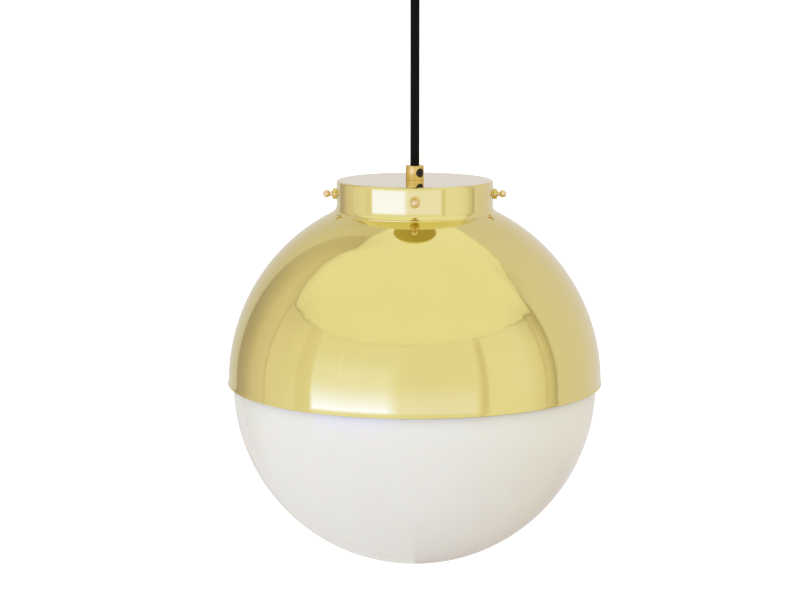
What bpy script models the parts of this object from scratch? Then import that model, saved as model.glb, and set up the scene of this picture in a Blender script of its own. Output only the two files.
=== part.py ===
"""Pendant ceiling light: a spun brass dome over an opal glass globe, on a textile flex.

The origin is the centre of the ceiling face and -Z points down the lamp's axis. Every
length is in metres. Pieces that touch in the real lamp keep the clearance GAP.
"""

import math

import bmesh
import bpy
from mathutils import Matrix, Vector

MM = 0.001
GAP = 0.3 * MM

# Driving dimensions: shades and gallery
GLOBE_R = 150 * MM              # opal glass globe, outside
GLOBE_WALL = 3 * MM
GLOBE_Z = -367.8 * MM           # centre of the globe
NECK_R = 53.5 * MM              # glass neck, outside
LIP_R = 57 * MM                 # rolled lip of the neck
LIP_BEAD = 3 * MM
DOME_R = 154.1 * MM             # spun dome, outside, at its widest
DOME_HEIGHT = 155.8 * MM        # vertical half axis of the dome's ellipse
DOME_Z = -365.7 * MM
DOME_SHEET = 1 * MM
RIM_Z = -366.4 * MM
RIM_R = 154.8 * MM
COLLAR_TOP = -206.3 * MM        # top of the dome's neck collar
GALLERY_TOP = -199 * MM
GALLERY_R = 64.3 * MM
GALLERY_SHEET = 1.2 * MM
FOOT_R = 67.6 * MM              # flared foot of the gallery
FOOT_Z = -224.55 * MM

# Driving dimensions: thumbscrews
SCREW_Z = -210.4 * MM
SHANK_R = 2 * MM
SHANK_TIP = 57.3 * MM           # distance of the tip from the lamp's axis
BALL_R = 3.1 * MM
BALL_X = 72.1 * MM
BALL_NECK_R = 1.6 * MM
COLLAR_NUT_R = 4.4 * MM
COLLAR_NUT_END = 67.4 * MM
SCREW_ANGLES = {"right": 0, "back": math.pi / 2, "left": math.pi, "front": 1.5 * math.pi}

# Driving dimensions: flex, grips and ceiling rose
CORD_R = 3.65 * MM
CORD_LENGTH = 150 * MM          # flex between the two cord grips
CORD_BORE = 4 * MM
NIPPLE_R = 4.9 * MM
GRIP_R = 7.5 * MM
GRIP_HEIGHT = 12 * MM
GRIP_THREAD = 8.3 * MM          # depth where the grip's nipple thread starts
GRIP_SCREW_DEPTH = 5.8 * MM
GRIP_SCREW_ANGLE = math.radians(-53)
GRIP_SCREW_HOLE = [(0, 0), (2.3 * MM, 0), (2.3 * MM, 5.6 * MM), (3.7 * MM, 5.6 * MM),
                   (3.7 * MM, 9 * MM), (0, 9 * MM)]
ROSE_R = 50 * MM
ROSE_HEIGHT = 25 * MM
ROSE_SCREW_R = 1.6 * MM
ROSE_SCREW_Z = -9 * MM
ROSE_SCREW_ANGLES = {"right": 0, "left": math.pi}
SLOT_X = 37 * MM                # ceiling screw slots of the bracket
SLOT_RUN = 4 * MM
SLOT_R = 2.5 * MM
TERMINAL_ROWS = (-8.5 * MM, 0, 8.5 * MM)
TERMINAL_Z = -8 * MM
TERMINAL_SCREW_X = 21 * MM

# Driving dimensions: wiring, lampholder and bulb
CORE_R = 0.9 * MM
CORE_SPREAD = 1.25 * MM         # distance of the cores from the flex's axis
CORES = (("live", (0.2, 0.08, 0.03)), ("neutral", (0.03, 0.1, 0.5)), ("earth", (0.25, 0.5, 0.05)))
ROSE_CORE_Z = -14.7 * MM
LAMP_CORE_Z = -212.8 * MM
NIPPLE_END = -212 * MM
CAP_TOP = -205.8 * MM
CAP_END = -226 * MM
INSERT_TOP = -227 * MM
HOLDER_END = -262 * MM
HOLDER_TERMINALS = (math.radians(30), math.radians(150), math.radians(270))
BULB_TOP = -232.9 * MM
BULB_CAP_R = 13.3 * MM

# Values worked out from the driving dimensions
CLEAR_R = NIPPLE_R + GAP        # hole that passes the nipple
GALLERY_UNDER = GALLERY_TOP - GALLERY_SHEET
GALLERY_INNER = GALLERY_R - GALLERY_SHEET
COLLAR_R = GALLERY_INNER - GAP  # dome's neck collar, outside
LIP_Z = SCREW_Z + 5.2 * MM      # the lip sits above the screws
ROSE_MOUTH = -ROSE_HEIGHT - GRIP_HEIGHT
LAMP_MOUTH = ROSE_MOUTH - CORD_LENGTH
SWING_PIVOT = ROSE_MOUTH
SIDE_PIVOT = ROSE_MOUTH - 13.2 * MM

FINE = 40                       # facets round the large turned pieces
MEDIUM = 20                     # facets round the lampholder and the bulb
SMALL = 14                      # facets round fasteners, grips and nipples
BRASS = (0.78, 0.66, 0.25)
RAW_BRASS = (0.72, 0.56, 0.22)
STEEL = (0.62, 0.62, 0.6)
FLEX = (0.02, 0.02, 0.02)


# ---------------------------------------------------------------- helpers

def clear_scene():
    for item in list(bpy.data.objects):
        bpy.data.objects.remove(item, do_unlink=True)


def finish(item, colour, roughness, metallic):
    """Give the object a material of its own."""
    material = bpy.data.materials.new(item.name + "_material")
    material.use_nodes = True
    shader = material.node_tree.nodes["Principled BSDF"]
    shader.inputs["Base Color"].default_value = (*colour, 1)
    shader.inputs["Roughness"].default_value = roughness
    shader.inputs["Metallic"].default_value = metallic
    item.data.materials.append(material)
    return item


def arc(centre, radius, start, end, steps, height=None):
    """Points (r, z) on an arc or, with a second radius as height, on an ellipse's arc."""
    height = radius if height is None else height
    points = []
    for step in range(steps + 1):
        angle = math.radians(start + (end - start) * step / steps)
        points.append((centre[0] + radius * math.cos(angle), centre[1] + height * math.sin(angle)))
    return points


def mesh_object(name, mesh, sharp=35):
    """Link the bmesh as an object, with its faces out and its round faces smooth."""
    bmesh.ops.recalc_face_normals(mesh, faces=mesh.faces)
    data = bpy.data.meshes.new(name)
    mesh.to_mesh(data)
    mesh.free()
    data.shade_smooth()
    data.set_sharp_from_angle(angle=math.radians(sharp))
    item = bpy.data.objects.new(name, data)
    bpy.context.scene.collection.objects.link(item)
    return item


def add_turned(mesh, outline, segments, turn=None):
    """Turn a closed outline of (r, z) points round Z. A point with r = 0 is one vertex."""
    rings = []
    for radius, height in outline:
        if radius < 1e-9:
            rings.append([mesh.verts.new((0, 0, height))])
            continue
        ring = []
        for step in range(segments):
            angle = 2 * math.pi * step / segments
            ring.append(mesh.verts.new((radius * math.cos(angle), radius * math.sin(angle), height)))
        rings.append(ring)
    for one, two in zip(rings, rings[1:] + rings[:1]):
        if len(one) == 1 and len(two) == 1:
            continue
        for step in range(segments):
            after = (step + 1) % segments
            if len(one) == 1:
                mesh.faces.new((one[0], two[step], two[after]))
            elif len(two) == 1:
                mesh.faces.new((one[step], two[0], one[after]))
            else:
                mesh.faces.new((one[step], two[step], two[after], one[after]))
    if turn is not None:
        made = [vertex for ring in rings for vertex in ring]
        bmesh.ops.transform(mesh, matrix=turn, verts=made)


def turned(name, outline, segments, turn=None):
    mesh = bmesh.new()
    add_turned(mesh, outline, segments, turn)
    return mesh_object(name, mesh)


def rod(radius, low, high, chamfer=0):
    """Outline of a solid rod from low to high along its axis."""
    if chamfer == 0:
        return [(0, low), (radius, low), (radius, high), (0, high)]
    return [(0, low), (radius - chamfer, low), (radius, low + chamfer),
            (radius, high - chamfer), (radius - chamfer, high), (0, high)]


def ring(inner, outer, low, high):
    return [(inner, low), (outer, low), (outer, high), (inner, high)]


def radial(angle, height):
    """Carry a piece turned round Z onto a horizontal axis that points out at the angle."""
    place = Matrix.Translation((0, 0, height)) @ Matrix.Rotation(angle, 4, "Z")
    return place @ Matrix.Rotation(math.pi / 2, 4, "Y")


def add_prism(mesh, outline, low, high, axis="Y"):
    """Extrude a flat outline between two planes across the given axis."""
    def place(first, second, depth):
        return (first, depth, second) if axis == "Y" else (first, second, depth)
    ends = []
    for depth in (low, high):
        ends.append([mesh.verts.new(place(first, second, depth)) for first, second in outline])
    mesh.faces.new(ends[0])
    mesh.faces.new(list(reversed(ends[1])))
    count = len(outline)
    for step in range(count):
        after = (step + 1) % count
        mesh.faces.new((ends[0][step], ends[1][step], ends[1][after], ends[0][after]))


def prism(name, outline, low, high, axis="Y"):
    mesh = bmesh.new()
    add_prism(mesh, outline, low, high, axis)
    return mesh_object(name, mesh)


def box_outline(low, high, bevel=0):
    """Rectangle between two corners, with its corners cut off by the bevel."""
    if bevel == 0:
        return [(low[0], low[1]), (high[0], low[1]), (high[0], high[1]), (low[0], high[1])]
    return [(low[0] + bevel, low[1]), (high[0] - bevel, low[1]), (high[0], low[1] + bevel),
            (high[0], high[1] - bevel), (high[0] - bevel, high[1]), (low[0] + bevel, high[1]),
            (low[0], high[1] - bevel), (low[0], low[1] + bevel)]


def hexagon_nut(name, across, bore, low, high):
    """Nut whose ring of twelve points alternates between corners and the middles of flats."""
    mesh = bmesh.new()
    rings = []
    for height in (low, high):
        for outer in (True, False):
            points = []
            for step in range(12):
                angle = math.pi * step / 6
                corner = step % 2 == 0
                reach = across / 2 / (math.cos(math.pi / 6) if corner else 1)
                radius = reach if outer else bore
                points.append(mesh.verts.new((radius * math.cos(angle), radius * math.sin(angle), height)))
            rings.append(points)
    bottom_outer, bottom_inner, top_outer, top_inner = rings
    loop = (bottom_outer, top_outer, top_inner, bottom_inner)
    for one, two in zip(loop, loop[1:] + loop[:1]):
        for step in range(12):
            after = (step + 1) % 12
            mesh.faces.new((one[step], one[after], two[after], two[step]))
    return mesh_object(name, mesh, sharp=20)


def cut(item, mesh):
    """Cut the bmesh's solids out of the object with a hidden cutter."""
    cutter = mesh_object(item.name + "_cutter", mesh)
    cutter.hide_render = True
    cutter.display_type = "WIRE"
    modifier = item.modifiers.new("holes", "BOOLEAN")
    modifier.operation = "DIFFERENCE"
    modifier.solver = "EXACT"
    modifier.object = cutter
    return item


def smooth_route(points, steps):
    """Catmull-Rom curve through the points, with a few steps between neighbours."""
    ends = [points[0] * 2 - points[1]] + points + [points[-1] * 2 - points[-2]]
    route = []
    for index in range(1, len(ends) - 2):
        before, here, there, after = ends[index - 1:index + 3]
        for step in range(steps):
            t = step / steps
            route.append(0.5 * (2 * here + (there - before) * t
                                + (2 * before - 5 * here + 4 * there - after) * t * t
                                + (3 * here - before - 3 * there + after) * t ** 3))
    return route + [points[-1]]


def tube(name, points, radius, sides=2):
    """Cord or core: a curve with a round bevel and filled ends."""
    curve = bpy.data.curves.new(name, "CURVE")
    curve.dimensions = "3D"
    curve.bevel_depth = radius
    curve.bevel_resolution = sides
    curve.use_fill_caps = True
    spline = curve.splines.new("POLY")
    spline.points.add(len(points) - 1)
    for point, place in zip(spline.points, points):
        point.co = (*place, 1)
    spline.use_smooth = True
    item = bpy.data.objects.new(name, curve)
    bpy.context.scene.collection.objects.link(item)
    return item


def straight_cord(name, top, bottom):
    """Taut vertical cord with a point about every two and a half diameters."""
    count = max(2, round((top - bottom) / (5 * CORD_R)) + 1)
    points = [Vector((0, 0, top + (bottom - top) * step / (count - 1))) for step in range(count)]
    return tube(name, points, CORD_R, sides=3)


def pivot(name, place, parent=None):
    """Empty on a joint's axis. Every empty is upright, so places simply subtract."""
    item = bpy.data.objects.new(name, None)
    item.empty_display_size = 0.02
    bpy.context.scene.collection.objects.link(item)
    item["place"] = place
    above = (0, 0, 0)
    if parent is not None:
        item.parent = parent
        above = parent["place"]
    item.location = Vector(place) - Vector(above)
    return item


def hang(items, parent):
    """Parent pieces drawn in world places to a pivot, and leave them where they are."""
    for item in items:
        item.parent = parent
        item.location = item.location - Vector(parent["place"])
        for modifier in item.modifiers:
            if modifier.type == "BOOLEAN":
                modifier.object.parent = parent
                modifier.object.location = modifier.object.location - Vector(parent["place"])


# ---------------------------------------------------------------- ceiling rose

def ceiling_bracket():
    """Steel strap under the ceiling, with two bent ears that take the side screws."""
    half, sheet, drop, width = 47 * MM, 1.6 * MM, 14 * MM, 10 * MM
    bend = 2.6 * MM
    corner = (half - bend, -bend)
    outer = arc(corner, bend, 90, 0, 3) + [(half, -drop)]
    inner = [(half - sheet, -drop)] + arc(corner, bend - sheet, 0, 90, 3)
    right = outer + inner
    left = [(-x, z) for x, z in reversed(right)]
    strap = prism("ceiling_bracket", right + left, -width, width)
    holes = bmesh.new()
    for side in (-1, 1):
        slot = arc((side * SLOT_X + SLOT_RUN, 0), SLOT_R, -90, 90, 6)
        slot += arc((side * SLOT_X - SLOT_RUN, 0), SLOT_R, 90, 270, 6)
        add_prism(holes, slot, -5 * MM, 2 * MM, axis="Z")
    for angle in ROSE_SCREW_ANGLES.values():
        add_turned(holes, rod(ROSE_SCREW_R + GAP, 40 * MM, 52 * MM), 12, radial(angle, ROSE_SCREW_Z))
    return finish(cut(strap, holes), STEEL, 0.4, 1)


def rose_cup():
    """Turned brass cup that covers the wiring, open towards the ceiling."""
    wall, edge = 1.5 * MM, 3 * MM
    corner = (ROSE_R - edge, -ROSE_HEIGHT + edge)
    outline = [(ROSE_R, 0)] + arc(corner, edge, 0, -90, 4)
    outline += [(CLEAR_R, -ROSE_HEIGHT), (CLEAR_R, -ROSE_HEIGHT + wall)]
    outline += arc(corner, edge - wall, -90, 0, 3) + [(ROSE_R - wall, 0)]
    cup = turned("rose_cup", outline, FINE)
    holes = bmesh.new()
    for angle in ROSE_SCREW_ANGLES.values():
        add_turned(holes, rod(ROSE_SCREW_R + GAP, 44 * MM, 54 * MM), 12, radial(angle, ROSE_SCREW_Z))
    return finish(cut(cup, holes), BRASS, 0.2, 1)


def rose_side_screws():
    """Domed screws that hold the cup to the bracket's ears."""
    head_r, head_z = 3.5 * MM, ROSE_R + GAP
    outline = [(0, 43 * MM), (ROSE_SCREW_R, 43 * MM), (ROSE_SCREW_R, head_z), (head_r, head_z)]
    outline += arc((0, head_z + 0.6 * MM), head_r, 0, 70, 2, height=1.9 * MM)
    outline += [(0, head_z + 2.5 * MM)]
    return [finish(turned("rose_side_screw_" + side, outline, SMALL, radial(angle, ROSE_SCREW_Z)),
                   RAW_BRASS, 0.25, 1) for side, angle in ROSE_SCREW_ANGLES.items()]


def terminal_block():
    """Three-way block under the bracket. Cores go in at its side, screws from below."""
    low, high = Vector((12, -13, -14)) * MM, Vector((30, 13, -2)) * MM
    block = prism("terminal_block", box_outline(low.xz, high.xz, 1 * MM), low.y, high.y)
    holes = bmesh.new()
    for y in TERMINAL_ROWS:
        entry = Matrix.Translation((0, y, TERMINAL_Z)) @ Matrix.Rotation(math.pi / 2, 4, "Y")
        add_turned(holes, rod(1.6 * MM, 8 * MM, 17.5 * MM), 10, entry)
        well = Matrix.Translation((TERMINAL_SCREW_X, y, 0))
        add_turned(holes, rod(2.2 * MM, -16 * MM, -10 * MM), 12, well)
    return finish(cut(block, holes), (0.85, 0.85, 0.82), 0.5, 0)


def terminal_screws():
    screws = []
    for (name, _), y in zip(CORES, TERMINAL_ROWS):
        well = Matrix.Translation((TERMINAL_SCREW_X, y, 0))
        screw = turned("terminal_screw_" + name, rod(1.9 * MM, -13.6 * MM, -10.3 * MM, 0.3 * MM), 10, well)
        screws.append(finish(screw, STEEL, 0.35, 1))
    return screws


def rose_cores():
    """Live, neutral and earth cores from the end of the flex to the terminal block."""
    cores = []
    for (name, colour), y, angle in zip(CORES, TERMINAL_ROWS, (-120, 0, 120)):
        side = Vector((math.cos(math.radians(angle)), math.sin(math.radians(angle)), 0))
        start = side * CORE_SPREAD + Vector((0, 0, ROSE_CORE_Z))
        route = [start, start + Vector((0, 0, 2.6 * MM)), Vector((6 * MM, y * 0.55, TERMINAL_Z - 0.6 * MM)),
                 Vector((11 * MM, y, TERMINAL_Z)), Vector((15.5 * MM, y, TERMINAL_Z))]
        cores.append(finish(tube("rose_core_" + name, smooth_route(route, 2), CORE_R, sides=1),
                            colour, 0.45, 0))
    return cores


# ---------------------------------------------------------------- cord grips and nipples

def cord_grip(name, mouth, towards):
    """Brass grip: a cord bore at the mouth, a nipple thread behind it, a screw hole at its side.

    towards is 1 where the grip's body lies above its mouth and -1 where it lies below.
    """
    def at(depth):
        return mouth + towards * depth
    chamfer = 0.5 * MM
    outline = [(CORD_BORE, at(chamfer)), (CORD_BORE + chamfer, at(0)), (GRIP_R - chamfer, at(0)),
               (GRIP_R, at(chamfer)), (GRIP_R, at(GRIP_HEIGHT - GAP)), (CLEAR_R, at(GRIP_HEIGHT - GAP)),
               (CLEAR_R, at(GRIP_THREAD)), (CORD_BORE, at(GRIP_THREAD))]
    grip = turned(name, outline, MEDIUM)
    holes = bmesh.new()
    pose = radial(GRIP_SCREW_ANGLE, at(GRIP_SCREW_DEPTH))
    add_turned(holes, GRIP_SCREW_HOLE, SMALL, pose)
    return finish(cut(grip, holes), RAW_BRASS, 0.25, 1)


def grip_screw(name, mouth, towards):
    """Black set screw: a shank that presses on the flex and a slotted head in a recess."""
    outline = [(0, CORD_R + GAP), (2 * MM, CORD_R + GAP), (2 * MM, 5.9 * MM), (3.4 * MM, 5.9 * MM),
               (3.4 * MM, 6.5 * MM), (3.1 * MM, 6.8 * MM), (0, 6.8 * MM)]
    pose = radial(GRIP_SCREW_ANGLE, mouth + towards * GRIP_SCREW_DEPTH)
    return finish(turned(name, outline, SMALL, pose), (0.02, 0.02, 0.02), 0.45, 0)


def nipple(name, low, high):
    return finish(turned(name, ring(CORD_BORE, NIPPLE_R, low, high), MEDIUM), STEEL, 0.35, 1)


# ---------------------------------------------------------------- gallery and shades

def gallery():
    """Spun cup that carries the glass and the dome, with a flared foot on the dome."""
    edge, flare = 2.2 * MM, FOOT_R - GALLERY_R
    corner = (GALLERY_R - edge, GALLERY_TOP - edge)
    foot = (FOOT_R, FOOT_Z + flare)
    outline = [(CLEAR_R, GALLERY_TOP)] + arc(corner, edge, 90, 0, 3) + arc(foot, flare, 180, 270, 3)
    outline += [(FOOT_R, FOOT_Z - 0.8 * MM), (GALLERY_INNER, FOOT_Z + 1.3 * MM)]
    outline += arc(corner, edge - GALLERY_SHEET, 0, 90, 2) + [(CLEAR_R, GALLERY_UNDER)]
    cup = turned("gallery", outline, FINE)
    holes = bmesh.new()
    for angle in SCREW_ANGLES.values():
        add_turned(holes, rod(SHANK_R + GAP, GALLERY_R - 6 * MM, GALLERY_R + 6 * MM), 12,
                   radial(angle, SCREW_Z))
    return finish(cut(cup, holes), BRASS, 0.15, 1)


def screw_collars():
    """Threaded collars on the gallery's wall, one round each thumbscrew."""
    inner, outer, chamfer = SHANK_R + GAP, COLLAR_NUT_R, 0.5 * MM
    low, high = GALLERY_R + 0.35 * MM, COLLAR_NUT_END
    outline = [(inner, low), (outer, low), (outer, high - chamfer), (outer - chamfer, high), (inner, high)]
    return [finish(turned("screw_collar_" + side, outline, SMALL, radial(angle, SCREW_Z)),
                   RAW_BRASS, 0.3, 1) for side, angle in SCREW_ANGLES.items()]


def thumbscrews():
    """Ball-headed screws. Each one's origin is on the lamp's axis, and its X is its own axis."""
    outline = [(0, SHANK_TIP), (SHANK_R - 0.5 * MM, SHANK_TIP), (SHANK_R, SHANK_TIP + 0.5 * MM),
               (SHANK_R, COLLAR_NUT_END - 0.4 * MM), (BALL_NECK_R, COLLAR_NUT_END)]
    start = math.degrees(math.acos(BALL_NECK_R / BALL_R))
    outline += arc((0, BALL_X), BALL_R, -start, 68, 5) + [(0, BALL_X + BALL_R)]
    screws = []
    first = turned("thumbscrew_shape", outline, SMALL, Matrix.Rotation(math.pi / 2, 4, "Y"))
    for side, angle in SCREW_ANGLES.items():
        screw = bpy.data.objects.new("thumbscrew_" + side, first.data.copy())
        bpy.context.scene.collection.objects.link(screw)
        screw.location = (0, 0, SCREW_Z)
        screw.rotation_euler = (0, 0, angle)
        screws.append(finish(screw, RAW_BRASS, 0.25, 1))
    bpy.data.objects.remove(first)
    return screws


def dome_shade():
    """Spun half-ellipsoid with a neck collar that stands inside the gallery."""
    collar_inner = COLLAR_R - DOME_SHEET
    top = math.degrees(math.acos(COLLAR_R / DOME_R))
    inner_r, inner_height = DOME_R - DOME_SHEET, DOME_HEIGHT - DOME_SHEET
    top_inner = math.degrees(math.acos(collar_inner / inner_r))
    outline = [(inner_r, RIM_Z), (RIM_R, RIM_Z)]
    outline += arc((0, DOME_Z), DOME_R, 0, top, 9, height=DOME_HEIGHT)
    outline += [(COLLAR_R, COLLAR_TOP), (collar_inner, COLLAR_TOP)]
    outline += arc((0, DOME_Z), inner_r, top_inner, 0, 9, height=inner_height)
    dome = turned("dome_shade", outline, FINE)
    holes = bmesh.new()
    for angle in SCREW_ANGLES.values():
        add_turned(holes, rod(SHANK_R + 0.5 * MM, COLLAR_R - 5 * MM, COLLAR_R + 3 * MM), 12,
                   radial(angle, SCREW_Z))
    return finish(cut(dome, holes), BRASS, 0.15, 1)


def opal_globe():
    """Blown glass globe, open at a neck with a rolled lip."""
    inner_r, neck_inner = GLOBE_R - GLOBE_WALL, NECK_R - GLOBE_WALL
    centre = (0, GLOBE_Z)
    neck = math.degrees(math.acos(NECK_R / GLOBE_R))
    neck_in = math.degrees(math.acos(neck_inner / inner_r))
    bead = (LIP_R - LIP_BEAD, LIP_Z)
    under = math.degrees(math.acos((NECK_R - bead[0]) / LIP_BEAD))
    outline = [(0, GLOBE_Z - GLOBE_R)] + arc(centre, GLOBE_R, -78, 0, 6)
    outline += arc(centre, GLOBE_R, 0, neck, 5)[1:]
    outline += arc(bead, LIP_BEAD, -under, 120, 4) + [(neck_inner, LIP_Z)]
    outline += arc(centre, inner_r, neck_in, 0, 5)
    outline += arc(centre, inner_r, 0, -78, 6)[1:] + [(0, GLOBE_Z - inner_r)]
    return finish(turned("opal_globe", outline, FINE), (0.88, 0.87, 0.88), 0.12, 0)


def neck_gasket():
    """Cork ring between the glass lip and the gallery's top."""
    outline = ring(51 * MM, 56.8 * MM, LIP_Z + LIP_BEAD + GAP, GALLERY_UNDER - GAP)
    return finish(turned("neck_gasket", outline, FINE), (0.45, 0.3, 0.18), 0.9, 0)


# ---------------------------------------------------------------- lampholder

def holder_cap():
    """Brass cap of the lampholder, screwed on the nipple."""
    top = CAP_TOP
    outline = [(CLEAR_R, top), (7.5 * MM, top), (7.5 * MM, top - 2.5 * MM)]
    outline += arc((7.5 * MM, top - 13.2 * MM), 12 * MM, 80, 0, 3, height=10.7 * MM)
    outline += [(19.5 * MM, CAP_END), (18.3 * MM, CAP_END)]
    outline += arc((7.5 * MM, top - 13.2 * MM), 10.8 * MM, 0, 80, 3, height=9.5 * MM)
    outline += [(CLEAR_R, top - 3.8 * MM)]
    return finish(turned("holder_cap", outline, MEDIUM), RAW_BRASS, 0.3, 1)


def holder_body():
    """Shell of the lampholder, with an inward lip that keeps the insert."""
    outline = [(18.6 * MM, CAP_END - GAP), (20 * MM, CAP_END - GAP), (20 * MM, HOLDER_END + 0.8 * MM),
               (19.2 * MM, HOLDER_END), (15 * MM, HOLDER_END), (15 * MM, HOLDER_END + 1.2 * MM),
               (18.6 * MM, HOLDER_END + 1.2 * MM)]
    return finish(turned("holder_body", outline, MEDIUM), RAW_BRASS, 0.3, 1)


def holder_insert():
    """Porcelain cup that insulates the live parts."""
    outer, inner, floor = 18.2 * MM, 14.8 * MM, INSERT_TOP - 4.2 * MM
    end = HOLDER_END + 1.8 * MM
    outline = [(0, INSERT_TOP), (outer, INSERT_TOP), (outer, end), (inner, end), (inner, floor), (0, floor)]
    return finish(turned("holder_insert", outline, MEDIUM), (0.9, 0.89, 0.86), 0.3, 0)


def holder_shell():
    """Threaded contact shell that the bulb screws into."""
    outline = ring(13.75 * MM, 14.4 * MM, HOLDER_END + 2.5 * MM, INSERT_TOP - 5 * MM)
    return finish(turned("holder_shell", outline, MEDIUM), RAW_BRASS, 0.3, 1)


def holder_contact():
    """Sprung tongue that presses on the bulb's tip."""
    top = INSERT_TOP - 4.5 * MM
    route = [(-11 * MM, top), (-5 * MM, top), (0, top - 0.7 * MM), (4 * MM, top - 0.4 * MM)]
    under = [(x, z - 0.4 * MM) for x, z in reversed(route)]
    return finish(prism("holder_contact", route + under, -2.5 * MM, 2.5 * MM), RAW_BRASS, 0.3, 1)


def holder_terminal_screws():
    screws = []
    low = INSERT_TOP + GAP
    for (name, _), angle in zip(CORES, HOLDER_TERMINALS):
        side = Matrix.Translation(Vector((math.cos(angle), math.sin(angle), 0)) * 11.5 * MM)
        screw = turned("holder_screw_" + name, rod(2 * MM, low, low + 2.2 * MM, 0.4 * MM), 10, side)
        screws.append(finish(screw, STEEL, 0.35, 1))
    return screws


def lamp_cores():
    """Cores from the end of the flex to the lampholder's terminal screws."""
    cores = []
    for (name, colour), angle in zip(CORES, HOLDER_TERMINALS):
        route = []
        for reach, drop in ((CORE_SPREAD, 0), (1.7 * MM, 3 * MM), (4.6 * MM, 7 * MM),
                            (7.4 * MM, 10 * MM), (8.1 * MM, 12.3 * MM)):
            route.append(Vector((reach * math.cos(angle), reach * math.sin(angle), LAMP_CORE_Z - drop)))
        cores.append(finish(tube("lamp_core_" + name, smooth_route(route, 2), CORE_R, sides=1),
                            colour, 0.45, 0))
    return cores


# ---------------------------------------------------------------- bulb

def bulb():
    """Screw-in bulb with an opal diffuser, tip up."""
    tip = BULB_TOP
    contact = finish(turned("bulb_contact", [(0, tip), (3 * MM, tip - 0.3 * MM), (4.4 * MM, tip - 1.1 * MM),
                                             (0, tip - 1.1 * MM)], SMALL), STEEL, 0.3, 1)
    insulator = [(0, tip - 1.4 * MM), (5 * MM, tip - 1.4 * MM), (9 * MM, tip - 3.6 * MM),
                 (9 * MM, tip - 5 * MM), (0, tip - 5 * MM)]
    insulator = finish(turned("bulb_insulator", insulator, SMALL), (0.02, 0.02, 0.03), 0.2, 0)
    cap = [(9.4 * MM, tip - 4.4 * MM), (BULB_CAP_R - 1.2 * MM, tip - 5.4 * MM), (BULB_CAP_R, tip - 7 * MM),
           (BULB_CAP_R, tip - 27 * MM), (BULB_CAP_R - 0.8 * MM, tip - 27 * MM),
           (BULB_CAP_R - 0.8 * MM, tip - 7.4 * MM), (9.4 * MM, tip - 5.2 * MM)]
    cap = finish(turned("bulb_cap", cap, MEDIUM), STEEL, 0.3, 1)
    body = [(0, tip - 8 * MM), (12.1 * MM, tip - 8 * MM), (12.1 * MM, tip - 27.4 * MM),
            (13.3 * MM, tip - 27.4 * MM)]
    body += [(13.3 * MM + 15.1 * MM * math.sin(0.5 * math.pi * step / 5) ** 1.5,
              tip - 27.4 * MM - 30.6 * MM * step / 5) for step in range(1, 6)]
    body += [(28.4 * MM, tip - 62 * MM), (0, tip - 62 * MM)]
    body = finish(turned("bulb_body", body, MEDIUM), (0.85, 0.85, 0.85), 0.4, 0)
    rim, outer = tip - 58.4 * MM, 30 * MM
    shade = [(outer - 1.2 * MM, rim), (outer, rim)]
    shade += arc((0, rim - 4 * MM), outer, 0, -72, 4, height=45.7 * MM) + [(0, rim - 49.7 * MM)]
    shade += [(0, rim - 48.5 * MM)]
    shade += arc((0, rim - 4 * MM), outer - 1.2 * MM, -72, 0, 4, height=44.5 * MM)
    shade = finish(turned("bulb_diffuser", shade, MEDIUM), (0.93, 0.93, 0.92), 0.35, 0)
    return [contact, insulator, cap, body, shade]


# ---------------------------------------------------------------- assembly

def build():
    clear_scene()
    rose = [ceiling_bracket(), rose_cup(), terminal_block(),
            cord_grip("rose_cord_grip", ROSE_MOUTH, 1), grip_screw("rose_grip_screw", ROSE_MOUTH, 1),
            nipple("rose_nipple", ROSE_MOUTH + GRIP_THREAD + GAP, -17.5 * MM),
            hexagon_nut("rose_nipple_nut", 14 * MM, CLEAR_R, -23.2 * MM, -19.4 * MM)]
    rose += rose_side_screws() + terminal_screws() + rose_cores()
    rose_end = straight_cord("rose_cord_end", ROSE_CORE_Z - GAP, ROSE_MOUTH + GAP)
    rose.append(finish(rose_end, FLEX, 0.9, 0))
    hang(rose, pivot("ceiling", (0, 0, 0)))

    front_back = pivot("swing_front_back", (0, 0, SWING_PIVOT))
    upper = straight_cord("flex_cord_top", ROSE_MOUTH - 1.2 * MM, SIDE_PIVOT + 0.6 * MM)
    hang([finish(upper, FLEX, 0.9, 0)], front_back)

    sideways = pivot("swing_sideways", (0, 0, SIDE_PIVOT), front_back)
    lower = straight_cord("flex_cord", SIDE_PIVOT - 0.6 * MM, LAMP_MOUTH + GAP)
    hang([finish(lower, FLEX, 0.9, 0)], sideways)

    twist = pivot("lamp_twist", (0, 0, LAMP_MOUTH), sideways)
    lamp = [cord_grip("cord_grip", LAMP_MOUTH, -1), grip_screw("cord_grip_screw", LAMP_MOUTH, -1),
            gallery(), dome_shade(), neck_gasket(),
            nipple("lamp_nipple", NIPPLE_END, LAMP_MOUTH - GRIP_THREAD - GAP),
            finish(turned("nipple_washer", ring(CLEAR_R, 9 * MM, GALLERY_UNDER - 1.5 * MM,
                                                GALLERY_UNDER - GAP), SMALL), STEEL, 0.4, 1),
            finish(hexagon_nut("nipple_nut", 14 * MM, CLEAR_R, GALLERY_UNDER - 5.3 * MM,
                               GALLERY_UNDER - 1.8 * MM), RAW_BRASS, 0.35, 1),
            holder_cap(), holder_body(), holder_insert(), holder_shell(), holder_contact()]
    lamp += screw_collars() + holder_terminal_screws() + lamp_cores()
    lamp_end = straight_cord("lamp_cord_end", LAMP_MOUTH - GAP, LAMP_CORE_Z + GAP)
    lamp.append(finish(lamp_end, FLEX, 0.9, 0))
    hang(lamp, twist)
    hang(thumbscrews(), twist)

    hang([opal_globe()], pivot("globe_drop", (0, 0, LIP_Z), twist))
    hang(bulb(), pivot("bulb_unscrew", (0, 0, BULB_TOP), twist))


build()
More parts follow.
